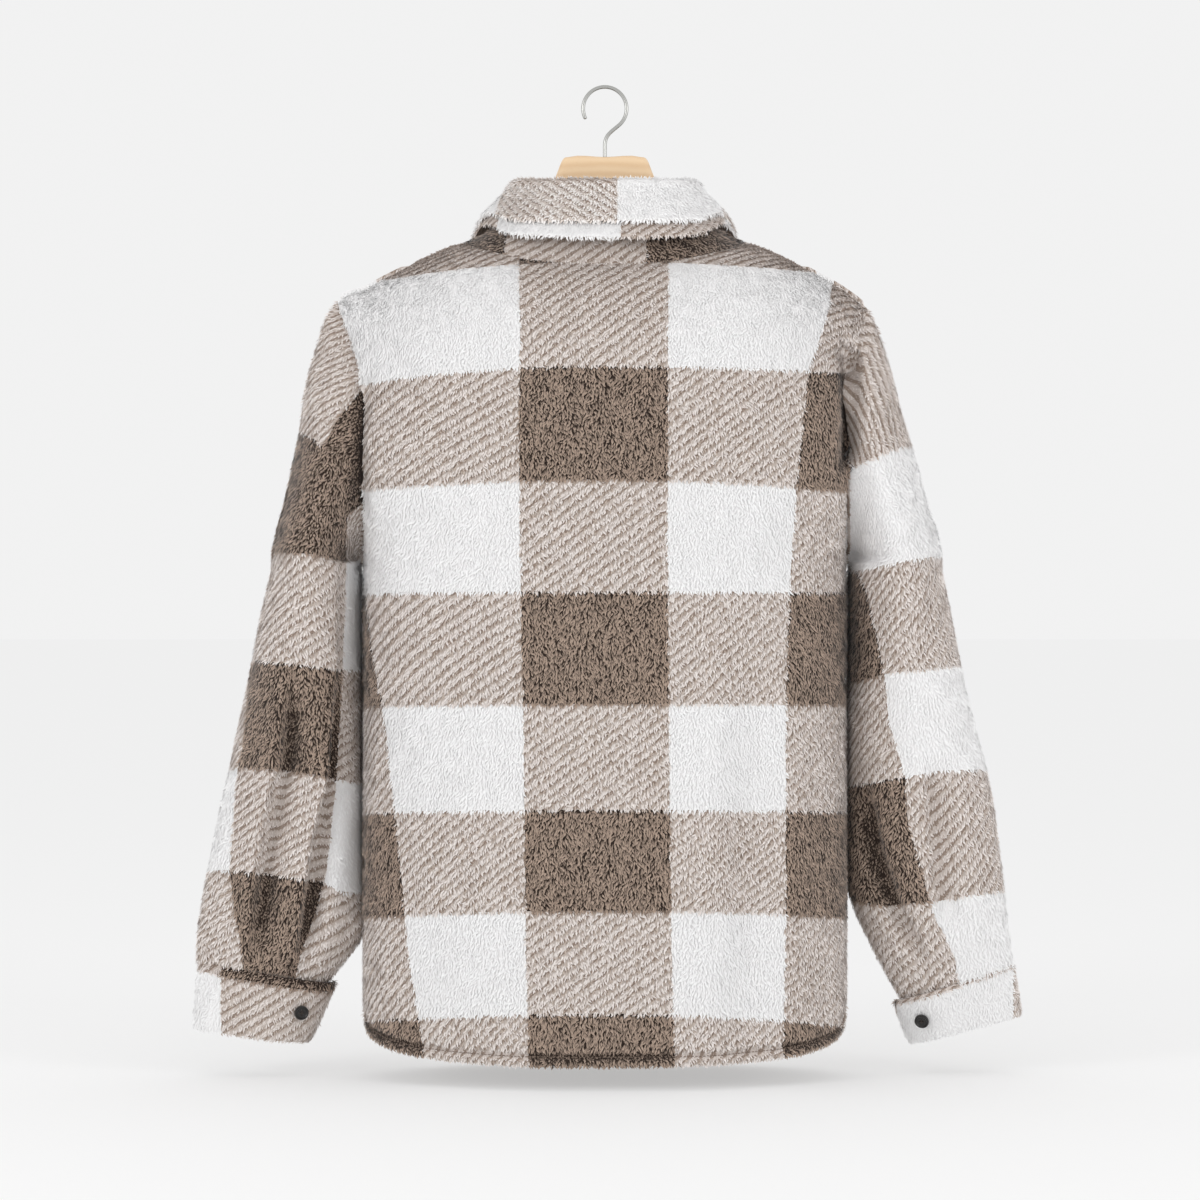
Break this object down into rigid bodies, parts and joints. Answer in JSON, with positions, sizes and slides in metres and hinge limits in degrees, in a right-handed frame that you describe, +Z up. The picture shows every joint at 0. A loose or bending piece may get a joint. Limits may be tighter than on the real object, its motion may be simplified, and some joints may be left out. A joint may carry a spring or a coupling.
{
  "type": "plush shirt-jacket on a wooden hanger",
  "caption": "Hip-length long-pile plush shirt-jacket with a large two-tone check, collar, buttoned front and cuffs, hanging empty on a wooden hanger.",
  "frame": {"origin": "inside top of the hanger hook, where a rail carries it", "axes": "+Z up, +Y towards the wearer's front, -X towards the wearer's left; the back faces -Y"},
  "size_m": [0.7555, 0.2491, 0.8783],
  "materials": {
    "plush_check": "long-pile sherpa fleece, brown and off-white check",
    "button_resin": "polished dark resin",
    "beech": "satin lacquered beech",
    "steel_wire": "polished plated wire"
  },
  "bodies": {
    "root": {"back": "plush_check", "button_cuff_left": "button_resin", "button_cuff_right": "button_resin", "button_front_1": "button_resin", "button_front_2": "button_resin", "button_front_3": "button_resin", "button_front_4": "button_resin", "button_front_5": "button_resin", "button_front_6": "button_resin", "collar_fall": "plush_check", "collar_stand": "plush_check", "collar_under": "plush_check", "cuff_left": "plush_check", "cuff_right": "plush_check", "front_left": "plush_check", "front_right": "plush_check", "hanger_hook": "steel_wire", "hanger_wood": "beech", "sleeve_left": "plush_check", "sleeve_right": "plush_check"}
  },
  "joints": []
}
